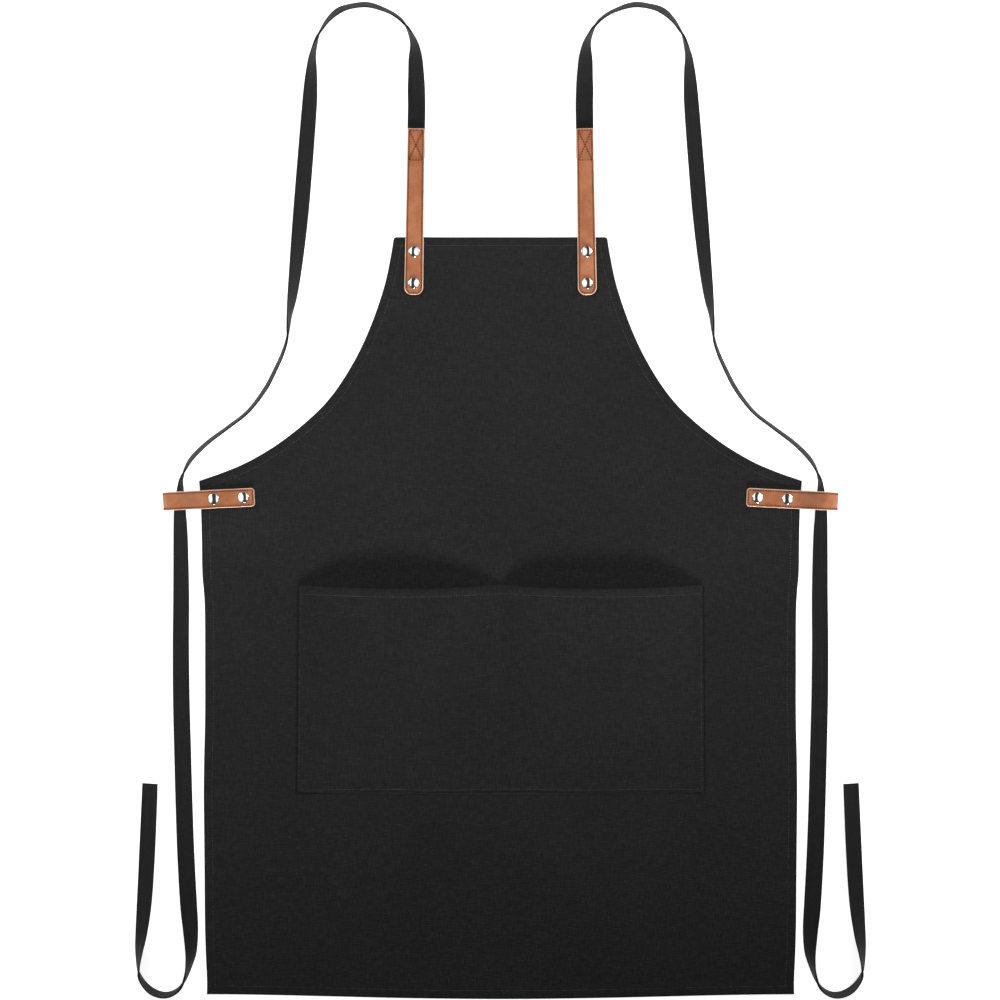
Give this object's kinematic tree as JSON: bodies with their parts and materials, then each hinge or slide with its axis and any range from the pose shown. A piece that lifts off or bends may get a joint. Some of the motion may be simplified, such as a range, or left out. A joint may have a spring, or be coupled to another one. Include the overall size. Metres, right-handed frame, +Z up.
{
  "type": "bib apron",
  "caption": "Canvas bib apron lying flat, with a divided front pocket, riveted leather bib tabs and side loops, and a long flat tape that slides through each loop.",
  "frame": {"origin": "on the floor under the middle of the apron, without its tapes, which lies face up", "axes": "+Y towards the bib, +X to the viewer's right as seen from above, +Z up"},
  "size_m": [0.8344, 1.1375, 0.0261],
  "materials": {
    "canvas": "black cotton canvas, plain weave, matt",
    "tape": "black woven cotton tape, matt",
    "leather": "tan leather, satin, with a dark rust stitch",
    "raw_leather": "light undyed leather lining and raw edge",
    "chrome": "bright nickel-plated cap"
  },
  "bodies": {
    "apron": {"apron_panel": "canvas", "pocket_panel": "canvas", "left_bib_tab_face": "leather", "left_bib_tab_lining": "raw_leather", "left_side_loop_face": "leather", "left_side_loop_lining": "raw_leather", "left_bib_upper_rivet_cap": "chrome", "left_bib_upper_rivet_back": "chrome", "left_bib_lower_rivet_cap": "chrome", "left_bib_lower_rivet_back": "chrome", "left_side_inner_rivet_cap": "chrome", "left_side_inner_rivet_back": "chrome", "left_side_outer_rivet_cap": "chrome", "left_side_outer_rivet_back": "chrome", "left_neck_tape": "tape", "right_bib_tab_face": "leather", "right_bib_tab_lining": "raw_leather", "right_side_loop_face": "leather", "right_side_loop_lining": "raw_leather", "right_bib_upper_rivet_cap": "chrome", "right_bib_upper_rivet_back": "chrome", "right_bib_lower_rivet_cap": "chrome", "right_bib_lower_rivet_back": "chrome", "right_side_inner_rivet_cap": "chrome", "right_side_inner_rivet_back": "chrome", "right_side_outer_rivet_cap": "chrome", "right_side_outer_rivet_back": "chrome", "right_neck_tape": "tape"},
    "left_tie": {"left_waist_tie": "tape"},
    "right_tie": {"right_waist_tie": "tape"}
  },
  "joints": [
    {"name": "left_tape_slide", "type": "slide", "parent": "apron", "child": "left_tie", "axis": [0, 0.9999, 0.0117], "range_m": [0, 0.3], "deforming": ["left_neck_tape"]},
    {"name": "right_tape_slide", "type": "slide", "parent": "apron", "child": "right_tie", "axis": [0, 0.9999, 0.0117], "range_m": [0, 0.3], "deforming": ["right_neck_tape"]}
  ]
}
